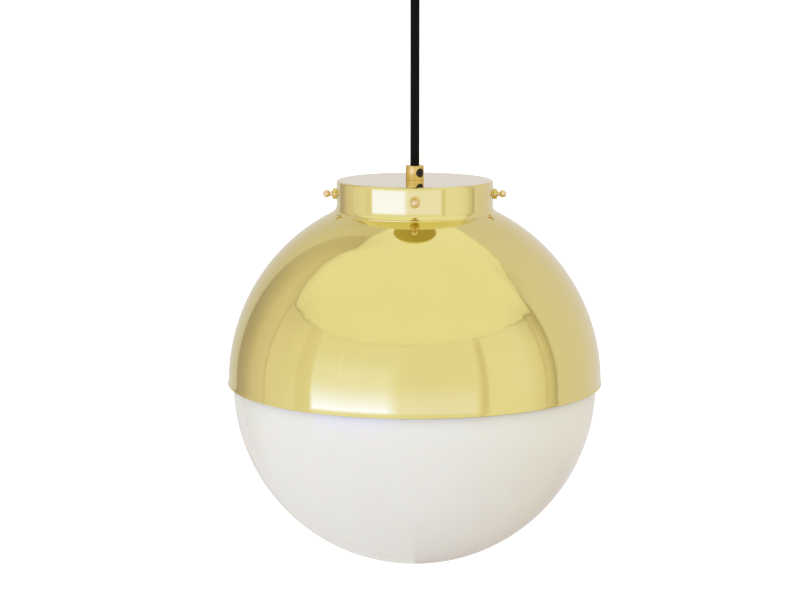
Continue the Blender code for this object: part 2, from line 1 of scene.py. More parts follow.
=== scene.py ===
"""Looks of the pendant ceiling light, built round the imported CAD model.

Outlines are lists of (radius, height) in millimetres, spun round a piece's own axis.
Places come from the frame. -Y is the front, and the lamp hangs along -Z.
"""

import math

import bmesh
import bpy
from mathutils import Matrix, Vector


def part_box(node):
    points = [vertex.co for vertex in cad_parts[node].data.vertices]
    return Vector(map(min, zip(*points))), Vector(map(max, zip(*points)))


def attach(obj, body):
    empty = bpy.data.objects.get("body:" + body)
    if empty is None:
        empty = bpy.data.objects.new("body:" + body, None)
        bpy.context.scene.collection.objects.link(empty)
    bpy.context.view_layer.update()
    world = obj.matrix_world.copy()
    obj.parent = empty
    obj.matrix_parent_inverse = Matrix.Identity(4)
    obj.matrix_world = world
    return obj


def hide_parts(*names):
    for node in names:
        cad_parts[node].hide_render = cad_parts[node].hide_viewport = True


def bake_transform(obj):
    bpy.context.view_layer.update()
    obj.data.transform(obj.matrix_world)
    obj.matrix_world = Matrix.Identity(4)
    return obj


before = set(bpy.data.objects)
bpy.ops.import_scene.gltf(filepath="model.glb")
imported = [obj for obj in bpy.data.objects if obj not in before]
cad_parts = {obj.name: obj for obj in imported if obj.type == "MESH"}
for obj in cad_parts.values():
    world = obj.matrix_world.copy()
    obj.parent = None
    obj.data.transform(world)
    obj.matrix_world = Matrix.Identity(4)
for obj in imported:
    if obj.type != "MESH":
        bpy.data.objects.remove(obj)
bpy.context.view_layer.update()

MM = 0.001
GAP = 0.3                       # clearance between neighbouring pieces, in millimetres


def reach(node):
    """Outer radius, lowest and highest z of an upright CAD piece, in millimetres."""
    low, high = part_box(node)
    return high.x / MM, low.z / MM, high.z / MM


GLOBE_R, GLOBE_LOW, LIP_TOP = reach("opal_globe")
GLOBE_Z = GLOBE_LOW + GLOBE_R
RIM_R, RIM_Z, COLLAR_TOP = reach("dome_shade")
FOOT_R, FOOT_EDGE, GALLERY_TOP = reach("gallery")
FOOT_EDGE -= 0.35               # the foot closes on the dome, without the CAD clearance
GRIP_R = reach("cord_grip")[0]
LAMP_MOUTH = reach("cord_grip")[2]
ROSE_MOUTH = reach("rose_cord_grip")[1]
ROSE_R, ROSE_LOW, ROSE_TOP = reach("rose_cup")
GALLERY_WALL = FOOT_R - 3.3     # outer radius of the upright wall
SCREW_Z = sum(reach("thumbscrew_right")[1:]) / 2
SIDES = {"right": 0, "back": 90, "left": 180, "front": 270}
CORD_R = 3.65
CORD_BORE = 4                   # radius of the grips' bores
NIPPLE_R = 4.9
GRIP_SCREW_ANGLE = -53          # degrees round the lamp's axis, from the right towards the front
GRIP_SCREW_DEPTH = 5.8          # from a grip's mouth to the middle of its set screw
GRIP_LENGTH = LAMP_MOUTH - GALLERY_TOP - 0.02
FLEX_TOP = ROSE_MOUTH + 1.2     # the flex reaches 1.2 mm into both grips
FLEX_BOTTOM = LAMP_MOUTH - 1.2
ROSE_SCREW_Z = -9
SLOT_WIDTH = 0.8
FINE_PITCH = 0.7                # pitch of the small screws' threads
E27_PITCH = 3.6


# ---------------------------------------------------------------- camera

def add_camera():
    """The photograph's view: from the ceiling rose's height, looking 9 degrees down at the globe."""
    distance, above_globe = 1.8106, 0.3546
    down, aside = 8.96, 0.397
    data = bpy.data.cameras.new("camera")
    data.sensor_width = 36
    data.lens = 100
    camera = link("camera", data)
    camera.location = (0, -distance, GLOBE_Z * MM + above_globe)
    camera.rotation_euler = (math.radians(90 - down), 0, math.radians(aside))
    bpy.context.scene.camera = camera


# ---------------------------------------------------------------- mesh helpers

def arc(centre, radius, start, end, steps, height=None):
    """Points on an arc or, with a second radius as height, on an ellipse's arc."""
    height = radius if height is None else height
    points = []
    for step in range(steps + 1):
        angle = math.radians(start + (end - start) * step / steps)
        points.append((centre[0] + radius * math.cos(angle), centre[1] + height * math.sin(angle)))
    return points


def rounded(corners, radius=0.25, steps=4):
    """The closed outline with its corners rounded. A corner may give its own radius."""
    points = []
    for index, corner in enumerate(corners):
        here = Vector(corner[:2])
        size = corner[2] if len(corner) > 2 else radius
        before = Vector(corners[index - 1][:2]) - here
        after = Vector(corners[(index + 1) % len(corners)][:2]) - here
        if here.x < 1e-6 or size == 0:
            points.append(tuple(here))
            continue
        half = before.angle(after) / 2
        back = min(size / math.tan(half), 0.45 * before.length, 0.45 * after.length)
        size = back * math.tan(half)
        first, last = before.normalized(), after.normalized()
        centre = here + (first + last).normalized() * (size / math.sin(half))
        for step in range(steps + 1):
            share = step / steps
            spoke = (here + first * back - centre).lerp(here + last * back - centre, share)
            points.append(tuple(centre + spoke.normalized() * size))
    return points


def densified(outline, longest):
    """The closed outline with its long edges divided."""
    points = []
    for here, after in zip(outline, outline[1:] + outline[:1]):
        here, after = Vector(here), Vector(after)
        count = max(1, math.ceil((after - here).length / longest))
        points += [tuple(here.lerp(after, step / count)) for step in range(count)]
    return points


def radial(angle, z):
    """Frame at height z on the lamp's axis whose Z points outwards at the angle."""
    turn = Matrix.Rotation(math.radians(angle), 4, "Z") @ Matrix.Rotation(math.pi / 2, 4, "Y")
    return Matrix.Translation((0, 0, z * MM)) @ turn


def link(name, data):
    """A new object with this data, in the scene."""
    item = bpy.data.objects.new(name, data)
    bpy.context.scene.collection.objects.link(item)
    return item


def mesh_object(name, vertices, faces, sharp=None):
    """A mesh object with its faces out, shaded smooth but for edges over the sharp angle."""
    data = bpy.data.meshes.new(name)
    data.from_pydata(vertices, [], faces)
    work = bmesh.new()
    work.from_mesh(data)
    bmesh.ops.recalc_face_normals(work, faces=work.faces)
    work.to_mesh(data)
    work.free()
    data.shade_smooth()
    if sharp:
        data.set_sharp_from_angle(angle=math.radians(sharp))
    return link(name, data)


def turned(name, outline, segments=96, place=None, wave=None, sharp=None):
    """Spin a closed outline round Z. wave(r, z, angle) moves a point outwards."""
    place = place or Matrix()
    vertices, rings, faces = [], [], []
    for r, z in outline:
        if r < 1e-6:
            rings.append([len(vertices)] * segments)
            vertices.append(place @ Vector((0, 0, z * MM)))
            continue
        rings.append(range(len(vertices), len(vertices) + segments))
        for step in range(segments):
            angle = 2 * math.pi * step / segments
            out = (r + (wave(r, z, angle) if wave else 0)) * MM
            vertices.append(place @ Vector((out * math.cos(angle), out * math.sin(angle), z * MM)))
    for low, high in zip(rings, rings[1:] + rings[:1]):
        for step in range(segments):
            after = (step + 1) % segments
            face = list(dict.fromkeys((low[step], low[after], high[after], high[step])))
            if len(face) > 2:
                faces.append(face)
    return mesh_object(name, vertices, faces, sharp)


def cut(item, *cutters):
    """Take the cutters away from the item, for good."""
    for cutter in cutters:
        modifier = item.modifiers.new("cut", "BOOLEAN")
        modifier.operation = "DIFFERENCE"
        modifier.solver = "EXACT"
        modifier.object = cutter
    depsgraph = bpy.context.evaluated_depsgraph_get()
    data = bpy.data.meshes.new_from_object(item.evaluated_get(depsgraph))
    item.modifiers.clear()
    item.data = data
    for cutter in cutters:
        bpy.data.objects.remove(cutter)
    data.shade_smooth()
    data.set_sharp_from_angle(angle=math.radians(35))
    return item


def drill(radius, low, high, place):
    """Cutter for a round hole between two heights."""
    return turned("cutter", [(0, low), (radius, low), (radius, high), (0, high)], 48, place)


def screw_slot(reach_out, low, high, turn, place):
    """Cutter for a screwdriver slot between two heights, turned about Z."""
    place = place @ Matrix.Rotation(math.radians(turn), 4, "Z")
    half = SLOT_WIDTH / 2
    outline = [(-reach_out, -half), (reach_out, -half), (reach_out, half), (-reach_out, half)]
    vertices = [place @ Vector((x * MM, y * MM, z * MM)) for z in (low, high) for x, y in outline]
    faces = [(0, 1, 2, 3), (7, 6, 5, 4)]
    for step in range(4):
        after = (step + 1) % 4
        faces.append((step, after, 4 + after, 4 + step))
    return mesh_object("cutter", vertices, faces, 30)


def fine_thread(depth, low, high, core):
    """Relief of a fine thread between two heights, on radii beyond the core."""
    def wave(r, z, angle):
        inside = low < z < high and r > core
        return -depth * (0.5 + 0.5 * math.sin(2 * math.pi * z / FINE_PITCH - angle)) if inside else 0
    return wave


def round_thread(depth, low, high):
    """Relief of the rolled round thread of an E27 shell, between two heights."""
    def wave(r, z, angle):
        fade = min(1, max(0, (z - low) / 1.2), max(0, (high - z) / 1.2))
        return depth * fade * (0.5 * math.cos(2 * math.pi * z / E27_PITCH - angle) - 0.5)
    return wave


def piece(item, body, material, slot, *nodes):
    """Dress the item, let it ride its body and let it stand for its CAD nodes."""
    item.data.materials.clear()
    item.data.materials.append(material)
    if body:
        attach(item, body)
    if nodes:
        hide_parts(*nodes)
    return item


# ---------------------------------------------------------------- material helpers

class Nodes:
    """Short calls that add shader nodes to a tree. Values and sockets both serve as inputs."""

    def __init__(self, tree, coordinates):
        self.tree = tree
        self.place = self.add("TexCoord").outputs[coordinates]

    def feed(self, socket, value):
        """Link a socket to the value, or set the value on it."""
        if isinstance(value, bpy.types.NodeSocket):
            self.tree.links.new(value, socket)
        elif value is not None:
            socket.default_value = value

    def add(self, kind, *inputs, **settings):
        """A node with its inputs given in order. None leaves an input alone."""
        item = self.tree.nodes.new("ShaderNode" + kind)
        for key, value in settings.items():
            setattr(item, key, value)
        for socket, value in zip(item.inputs, inputs):
            self.feed(socket, value)
        return item

    def math(self, operation, *inputs):
        return self.add("Math", *inputs, operation=operation).outputs[0]

    def mixed(self, factor, low, high):
        """A colour between two colours."""
        item = self.add("Mix", data_type="RGBA")
        self.feed(item.inputs["Factor"], factor)
        self.feed(item.inputs[6], low if isinstance(low, bpy.types.NodeSocket) else (*low, 1))
        self.feed(item.inputs[7], high if isinstance(high, bpy.types.NodeSocket) else (*high, 1))
        return item.outputs[2]

    def spread(self, value, low, high, start=0.3, end=0.7):
        """The value between start and end, spread between low and high."""
        return self.add("MapRange", value, start, end, low, high).outputs[0]

    def step(self, value, start, end):
        """0 before start and 1 after end, with a smooth step between."""
        item = self.add("MapRange", value, start, end, 0.0, 1.0, interpolation_type="SMOOTHSTEP")
        return item.outputs[0]

    def noise(self, scale, detail=3.0, vector=None, stretch=None):
        """Noise from 0 to 1, with features about 1/scale across."""
        vector = vector or self.place
        if stretch:
            vector = self.add("VectorMath", vector, stretch, operation="MULTIPLY").outputs[0]
        item = self.add("TexNoise", vector)
        item.inputs["Scale"].default_value = scale
        item.inputs["Detail"].default_value = detail
        return item.outputs["Fac"]


class Paint(Nodes):
    """A material under construction: a Principled shader and the nodes that feed it."""

    def __init__(self, name, colour, roughness, metallic=0.0, **fixed):
        self.material = bpy.data.materials.new(name)
        self.material.use_nodes = True
        super().__init__(self.material.node_tree, "Object")
        self.shader = self.tree.nodes["Principled BSDF"]
        self.shader.inputs["Base Color"].default_value = (*colour, 1)
        self.shader.inputs["Roughness"].default_value = roughness
        self.shader.inputs["Metallic"].default_value = metallic
        for socket, value in fixed.items():
            self.shader.inputs[socket.replace("_", " ")].default_value = value
        self.height = None

    def grains(self, scale):
        """Cells about 1/scale across."""
        item = self.add("TexVoronoi", self.place)
        item.inputs["Scale"].default_value = scale
        return item

    def rings(self, scale, around="Z"):
        """Noise that is the same all round an axis, as turning or spinning marks are."""
        parts = self.add("SeparateXYZ", self.place).outputs
        along = {"X": 0, "Y": 1, "Z": 2}[around]
        across = [parts[index] for index in range(3) if index != along]
        square = [self.math("POWER", self.math("ABSOLUTE", part), 2.0) for part in across]
        radius = self.math("SQRT", self.math("ADD", *square))
        place = self.add("CombineXYZ", radius, 0.0, parts[along]).outputs[0]
        return self.noise(scale, 4.0, place)

    def colour(self, factor, low, high):
        """Base colour between two colours."""
        self.feed(self.shader.inputs["Base Color"], self.mixed(factor, low, high))

    def roughness(self, value, low, high):
        """Roughness spread between two values."""
        self.tree.links.new(self.spread(value, low, high), self.shader.inputs["Roughness"])

    def bump(self, value, depth):
        """Relief of the depth in millimetres, on top of any relief before it."""
        item = self.add("Bump")
        item.inputs["Strength"].default_value = 1.0
        item.inputs["Distance"].default_value = depth * MM
        self.tree.links.new(value, item.inputs["Height"])
        if self.height:
            self.tree.links.new(self.height, item.inputs["Normal"])
        self.height = item.outputs["Normal"]
        self.tree.links.new(self.height, self.shader.inputs["Normal"])


# ---------------------------------------------------------------- materials

def polished_brass(name, lacquer=0.75, dull=0.0):
    """Spun, polished and lacquered brass: pale, with faint spinning rings and slightly uneven gloss."""
    paint = Paint(name, (0.77, 0.675, 0.222), 0.05, 1.0, Coat_Weight=lacquer, Coat_Roughness=0.02,
                  Coat_IOR=1.5)
    clouds = paint.spread(paint.noise(9.0, 4.0), 0.0, 1.0)
    paint.colour(clouds, (0.765, 0.66, 0.22), (0.80, 0.71, 0.257))
    paint.roughness(paint.noise(60.0, 5.0), 0.035 + dull, 0.085 + dull)
    paint.bump(paint.rings(900.0), 0.0006)
    paint.bump(paint.noise(2600.0, 2.0, stretch=(1, 1, 9)), 0.0003)
    return paint.material


def turned_brass(name, around="Z", colour=(0.78, 0.60, 0.22), roughness=0.1):
    """Machined brass: warmer than the spun shades, with turning marks round its own axis."""
    red, green, blue = colour
    paint = Paint(name, colour, roughness, 1.0, Coat_Weight=0.15, Coat_Roughness=0.08, Coat_IOR=1.5)
    low = (red * 0.9, green * 0.84, blue * 0.75)
    paint.colour(paint.spread(paint.noise(140.0, 4.0), 0.0, 1.0), low, (red, green, blue))
    paint.roughness(paint.noise(500.0, 4.0), roughness * 0.7, roughness * 1.5)
    paint.bump(paint.rings(3500.0, around), 0.002)
    return paint.material


def opal_glass(name):
    """Glossy opal glass, very slightly warm, with faint clouds in its body."""
    paint = Paint(name, (0.85, 0.845, 0.84), 0.07, 0.0, Subsurface_Weight=0.25, Subsurface_Scale=0.004,
                  IOR=1.5)
    clouds = paint.spread(paint.noise(14.0, 3.0), 0.0, 1.0)
    paint.colour(clouds, (0.85, 0.84, 0.833), (0.87, 0.862, 0.857))
    paint.roughness(paint.noise(35.0, 3.0), 0.05, 0.09)
    paint.bump(paint.noise(22.0, 1.0), 0.03)
    return paint.material


def black_braid(name):
    """Textile braid: matt black yarn with a few paler fibres."""
    paint = Paint(name, (0.004, 0.004, 0.004), 0.85, 0.0, Sheen_Weight=0.015, Sheen_Roughness=0.5,
                  Specular_IOR_Level=0.12)
    fibres = paint.noise(5200.0, 3.0, stretch=(1, 1, 0.35))
    paler = paint.spread(fibres, 0.0, 1.0, 0.45, 0.75)
    paint.colour(paler, (0.003, 0.003, 0.0033), (0.011, 0.0105, 0.0105))
    paint.roughness(paint.noise(900.0, 3.0), 0.72, 0.95)
    paint.bump(fibres, 0.05)
    return paint.material


def moulded(name, colour, roughness=0.4, grain=0.01):
    """Moulded plastic with a fine spark-eroded grain and a little unevenness of colour."""
    paint = Paint(name, colour, roughness)
    paint.colour(paint.spread(paint.noise(120.0, 3.0), 0.0, 1.0), [0.9 * part for part in colour], colour)
    paint.roughness(paint.noise(700.0, 3.0), roughness - 0.08, roughness + 0.1)
    paint.bump(paint.noise(3200.0, 2.0), grain)
    return paint.material


def earth_core(name):
    """Green insulation with a yellow stripe that winds round it."""
    paint = Paint(name, (0.25, 0.5, 0.05), 0.42)
    x, y, z = paint.add("SeparateXYZ", paint.place).outputs
    turn = paint.math("ADD", paint.math("ADD", x, y), paint.math("MULTIPLY", z, 0.8))
    stripe = paint.math("PINGPONG", turn, 0.0011)
    factor = paint.spread(stripe, 0.0, 1.0, 0.0005, 0.0006)
    paint.colour(factor, (0.05, 0.3, 0.04), (0.75, 0.62, 0.03))
    paint.roughness(paint.noise(800.0, 3.0), 0.35, 0.5)
    paint.bump(paint.noise(2400.0, 2.0), 0.01)
    return paint.material


def cork(name):
    """Cork composition: pale and dark granules in a binder."""
    paint = Paint(name, (0.45, 0.3, 0.18), 0.92)
    grains = paint.grains(700.0)
    paint.colour(grains.outputs["Color"], (0.28, 0.16, 0.08), (0.58, 0.4, 0.24))
    paint.roughness(paint.noise(900.0, 3.0), 0.82, 1.0)
    paint.bump(grains.outputs["Distance"], 0.25)
    return paint.material


def porcelain(name):
    """Glazed porcelain with fine dark specks."""
    paint = Paint(name, (0.88, 0.87, 0.83), 0.16, 0.0, Coat_Weight=0.6, Coat_Roughness=0.05)
    specks = paint.grains(320.0).outputs["Distance"]
    paint.colour(paint.spread(specks, 0.0, 1.0, 0.03, 0.09), (0.55, 0.5, 0.42), (0.89, 0.88, 0.84))
    paint.roughness(paint.noise(300.0, 3.0), 0.1, 0.24)
    paint.bump(paint.noise(180.0, 2.0), 0.03)
    return paint.material


def plated(name, colour, roughness, spangle=0.5):
    """Plated steel: brushed under the plating, with cloudy patches."""
    paint = Paint(name, colour, roughness, 1.0)
    dark = [part * (1 - 0.25 * spangle) for part in colour]
    paint.colour(paint.spread(paint.noise(260.0, 4.0), 0.0, 1.0), dark, colour)
    paint.roughness(paint.noise(420.0, 4.0), roughness - 0.08, roughness + 0.12)
    paint.bump(paint.noise(2600.0, 3.0, stretch=(0.15, 1, 1)), 0.006)
    return paint.material


def frosted(name):
    """Opal diffuser of the bulb: satin white with faint flow marks."""
    paint = Paint(name, (0.92, 0.92, 0.9), 0.42, 0.0, Subsurface_Weight=0.2, Subsurface_Scale=0.003)
    paint.colour(paint.spread(paint.noise(30.0, 2.0), 0.0, 1.0), (0.9, 0.9, 0.875), (0.93, 0.93, 0.915))
    paint.roughness(paint.noise(90.0, 3.0), 0.36, 0.48)
    paint.bump(paint.noise(1800.0, 2.0), 0.004)
    return paint.material


# ---------------------------------------------------------------- flex

def braid(angle, z):
    """Height of a two-way braid from 0 to 1, at an angle and a height in millimetres."""
    carriers = 16
    turns = angle * carriers / (2 * math.pi)
    rise = z * carriers / (2 * math.pi * CORD_R) * 0.9
    first, second = turns + rise, turns - rise
    over = (math.floor(first) + math.floor(second)) % 2
    across, along = (first, second) if over else (second, first)
    ridge = math.sin(math.pi * (across % 1)) ** 0.6
    crown = math.sin(math.pi * (along % 1)) ** 0.5
    return ridge * (0.35 + 0.65 * crown)


def flex():
    """Black braided flex, from inside the rose's grip to inside the lamp's grip."""
    top, bottom, segments, step = FLEX_TOP, FLEX_BOTTOM, 96, 0.25
    count = round((top - bottom) / step)
    outline = [(0, bottom), (CORD_R - 0.4, bottom), (CORD_R, bottom + 0.1)]
    outline += [(CORD_R, bottom + 0.3 + (top - bottom - 0.6) * index / count)
                for index in range(count + 1)]
    outline += [(CORD_R, top - 0.1), (CORD_R - 0.4, top), (0, top)]

    def relief(r, z, angle):
        depth, level = 0.22, 0.25
        return depth * (braid(angle, z) - level) if r > CORD_R - 0.2 else 0
    return turned("textile_flex", outline, segments, wave=relief)


# ---------------------------------------------------------------- shades and gallery

def spun(r, z, angle):
    """Faint unevenness that spinning by hand leaves, in millimetres."""
    rings = 0.010 * math.sin(z / 3.1 + 0.6 * math.sin(z / 11)) + 0.012 * math.sin(z / 7.7 + 1.3)
    around = 0.016 * math.sin(3 * angle + z / 31) + 0.010 * math.sin(5 * angle - z / 19 + 1)
    return rings + around


def spun_lightly(r, z, angle):
    """The same unevenness, fainter, as on a smaller piece."""
    return spun(r, z, angle) * 0.4


def dome():
    """Spun dome: a half ellipsoid with a turned rim and a collar inside the gallery."""
    sheet, half_width, half_height, centre = 1.0, 154.1, 155.8, RIM_Z + 0.7
    collar, rim = GALLERY_WALL - 1.5, 0.55
    top = math.degrees(math.acos(collar / half_width))
    inner = math.degrees(math.acos((collar - sheet) / (half_width - sheet)))
    outline = arc((RIM_R - rim, RIM_Z + rim), rim, -180, 40, 10)
    outline += arc((0, centre), half_width, 0.9, top, 110, half_height)
    outline += rounded([(collar, COLLAR_TOP - 1, 0), (collar, COLLAR_TOP), (collar - sheet, COLLAR_TOP),
                        (collar - sheet, COLLAR_TOP - 1, 0)], 0.3)
    outline += arc((0, centre), half_width - sheet, inner, 0.9, 90, half_height - sheet)
    shade = turned("spun_dome", outline, 288, wave=spun)
    holes = [drill(2.5, collar - 5, collar + 3, radial(angle, SCREW_Z)) for angle in SIDES.values()]
    return cut(shade, *holes)


def gallery():
    """Shallow cup with a rounded top edge and a flared foot that runs out on the dome."""
    sheet, wall, edge, slope, lip = 1.2, GALLERY_WALL, 2.2, 64, 0.55
    flare = (FOOT_R - wall) / (1 - math.cos(math.radians(slope)))
    bend = FOOT_EDGE + lip + flare * math.sin(math.radians(slope))
    clear = NIPPLE_R + GAP
    top = GALLERY_TOP
    outline = [(clear, top - 0.2), (clear + 0.2, top)]
    outline += [(clear + 0.2 + (wall - edge - clear - 0.6) * step / 12, top) for step in range(1, 13)]
    outline += arc((wall - edge, top - edge), edge, 90, 0, 14)
    outline += [(wall, top - edge - (top - edge - bend) * step / 10) for step in range(1, 10)]
    outline += arc((wall + flare, bend), flare, 180, 180 + slope, 16)
    outline += [(FOOT_R + 0.05, FOOT_EDGE + lip - 0.15), (FOOT_R, FOOT_EDGE)]
    outline += [(wall - sheet, FOOT_EDGE + 2.3)]
    outline += arc((wall - edge, top - edge), edge - sheet, 0, 90, 8) + [(clear, top - sheet)]
    cup = turned("spun_gallery", outline, 256, wave=spun_lightly)
    holes = [drill(2.3, wall - 6, wall + 6, radial(angle, SCREW_Z)) for angle in SIDES.values()]
    return cut(cup, *holes)


def globe():
    """Blown opal globe with a neck and a rolled lip, a trace out of round."""
    wall, neck, bead = 3.0, 53.5, 3.0
    lip = LIP_TOP - bead
    rise = math.degrees(math.acos(neck / GLOBE_R))
    inside = math.degrees(math.acos((neck - wall) / (GLOBE_R - wall)))
    outer = [(0, GLOBE_LOW)] + arc((0, GLOBE_Z), GLOBE_R, -88.5, rise - 2, 100)
    shoulder = rounded([outer[-1], (neck, GLOBE_Z + GLOBE_R * math.sin(math.radians(rise)), 5),
                        (neck, lip - 2.9, 0)], 0, 8)[1:]
    lip_arc = arc((neck + 0.5, lip), bead, -98, 120, 16)
    inner = [(neck - wall, lip)] + arc((0, GLOBE_Z), GLOBE_R - wall, inside, -88.5, 90)
    outline = outer + shoulder + lip_arc + inner + [(0, GLOBE_LOW + wall)]

    def blown(r, z, angle):
        return 0.05 * math.sin(2 * angle + z / 60) if r > neck + 2 and z < lip - 20 else 0
    return turned("blown_globe", outline, 224, wave=blown)


# ---------------------------------------------------------------- small brass parts

def cord_grip(name, mouth, towards):
    """Turned grip with a bore at its mouth and a counterbored set screw hole in its side."""
    def at(depth):
        return mouth + towards * depth
    shoulder = 8.3
    outline = rounded([(CORD_BORE, at(0), 0.5), (GRIP_R, at(0), 0.45), (GRIP_R, at(GRIP_LENGTH), 0.12),
                       (NIPPLE_R + GAP, at(GRIP_LENGTH), 0.1), (NIPPLE_R + GAP, at(shoulder), 0.1),
                       (CORD_BORE, at(shoulder), 0.1)], steps=6)
    grip = turned(name, densified(outline, 2.0), 96)
    place = radial(GRIP_SCREW_ANGLE, at(GRIP_SCREW_DEPTH))
    hole = rounded([(0, 0, 0), (2.3, 0, 0), (2.3, 5.6, 0), (3.7, 5.6, 0), (3.7, 9, 0), (0, 9, 0)])
    return cut(grip, turned("cutter", hole, 48, place))


def grip_screw(name, mouth, towards):
    """Black set screw with a slotted, slightly domed head."""
    place = radial(GRIP_SCREW_ANGLE, mouth + towards * GRIP_SCREW_DEPTH)
    outline = [(0, 3.95), (1.7, 3.95), (2, 4.25), (2, 5.9), (3.5, 5.9), (3.6, 6.0), (3.6, 6.5)]
    outline += arc((3.1, 6.45), 0.5, 20, 90, 4, 0.3) + [(1.6, 6.8), (0, 6.82)]
    return cut(turned(name, outline, 48, place), screw_slot(4, 6.15, 8, 25, place))


def screw_collar(side, angle):
    """Threaded collar on the gallery's wall, with a rounded outer edge."""
    inner, outer = 2.3, 4.4
    low, high = GALLERY_WALL + 0.05, 67.4
    outline = rounded([(inner, low, 0), (outer, low, 0), (outer, high, 0.9), (inner, high, 0.3)],
                      steps=8)
    return turned("brass_collar_" + side, densified(outline, 1.0), 72, radial(angle, SCREW_Z), sharp=50)


def thumbscrew(side, angle):
    """Ball-headed thumbscrew with a threaded shank."""
    tip, shank, neck, ball, centre = 57.3, 2.0, 1.5, 3.1, 72.1
    start = math.degrees(math.acos(neck / ball))
    outline = [(0, tip), (shank - 0.5, tip), (shank, tip + 0.5)]
    outline += [(shank, tip + 0.5 + 0.1 * step) for step in range(1, 90)]
    outline += [(shank, 66.8), (shank, 67.3), (2.45, 67.5), (2.5, 67.7), (2.3, 68.0), (1.55, 69.2)]
    outline += arc((0, centre), ball, -start, 88, 28) + [(0, centre + ball)]
    thread = fine_thread(0.14, tip + 0.6, 66.3, 1.9)
    return turned("ball_screw_" + side, outline, 56, radial(angle, SCREW_Z), thread, sharp=55)


# ---------------------------------------------------------------- ceiling rose

def rose_cup():
    """Spun cup with a rounded lower edge, a turned-in rim and two screw holes."""
    wall, edge, clear = 1.5, 3.0, NIPPLE_R + GAP
    low, top = ROSE_LOW, ROSE_TOP
    outline = [(ROSE_R - 0.2, top), (ROSE_R, top - 0.2)]
    outline += [(ROSE_R, top - 0.2 - (top - low - edge - 0.2) * step / 10) for step in range(1, 10)]
    outline += arc((ROSE_R - edge, low + edge), edge, 0, -90, 14)
    outline += [(ROSE_R - edge - (ROSE_R - edge - clear) * step / 10, low) for step in range(1, 10)]
    outline += [(clear + 0.2, low), (clear, low + 0.2), (clear, low + wall)]
    outline += arc((ROSE_R - edge, low + edge), edge - wall, -90, 0, 8)
    outline += [(ROSE_R - wall, top - 0.2), (ROSE_R - wall + 0.2, top)]
    cup = turned("spun_rose_cup", outline, 192, wave=spun_lightly)
    return cut(cup, *[drill(1.9, 44, 54, radial(angle, ROSE_SCREW_Z)) for angle in (0, 180)])


def rose_side_screw(side, angle):
    """Domed screw with a slotted head and a threaded shank."""
    shank, head, seat = 1.6, 3.5, ROSE_R + GAP
    outline = [(0, 43), (shank - 0.3, 43)] + [(shank, 43.3 + 0.1 * step) for step in range(67)]
    outline += [(shank, seat), (head - 0.1, seat), (head, seat + 0.1), (head, seat + 0.6)]
    outline += arc((0, seat + 0.6), head, 3, 88, 16, 1.9) + [(0, seat + 2.5)]
    place = radial(angle, ROSE_SCREW_Z)
    thread = fine_thread(0.12, 43.3, 49.9, 1.5)
    screw = turned("slotted_screw_" + side, outline, 56, place, thread, sharp=55)
    return cut(screw, screw_slot(5, seat + 1.5, seat + 4, 35, place))


# ---------------------------------------------------------------- lampholder and bulb

def lampholder():
    """Cap, body, insert and contact shell of the lampholder."""
    cap_r, cap_low, cap_top = reach("holder_cap")
    body_r, body_low, body_top = reach("holder_body")
    insert_r, insert_low, insert_top = reach("holder_insert")
    shell_low, shell_top = reach("holder_shell")[1:]
    clear = NIPPLE_R + GAP
    centre = (7.5, cap_top - 13.2)
    cap = [(clear, cap_top), (7.3, cap_top), (7.5, cap_top - 0.2), (7.5, cap_top - 2.5)]
    cap += arc(centre, cap_r - 7.5, 86, 0, 18, 10.7)
    cap += rounded([(cap_r, cap_low + 1, 0), (cap_r, cap_low), (cap_r - 1.2, cap_low),
                    (cap_r - 1.2, cap_low + 1, 0)], 0.2)
    cap += arc(centre, cap_r - 8.7, 0, 80, 14, 9.5) + [(clear, cap_top - 3.8)]
    body = rounded([(body_r - 1.4, body_top), (body_r, body_top, 0.5), (body_r, body_low, 0.9),
                    (15, body_low, 0.3), (15, body_low + 1.2, 0.3), (body_r - 1.4, body_low + 1.2)], 0.2)
    insert = rounded([(0, insert_top), (insert_r, insert_top, 0.6), (insert_r, insert_low, 0.3),
                      (14.8, insert_low, 0.4), (14.8, insert_top - 4.2, 0.5), (0, insert_top - 4.2)])
    shell = densified([(13.75, shell_low), (14.4, shell_low), (14.4, shell_top), (13.75, shell_top)],
                      0.35)
    thread = round_thread(0.3, shell_low, shell_top)
    return [(turned("turned_holder_cap", cap, 128, sharp=50), "holder_cap"),
            (turned("turned_holder_body", densified(body, 4), 128, sharp=50), "holder_body"),
            (turned("glazed_insert", densified(insert, 4), 96, sharp=50), "holder_insert"),
            (turned("threaded_shell", shell, 96, wave=thread, sharp=50), "holder_shell")]


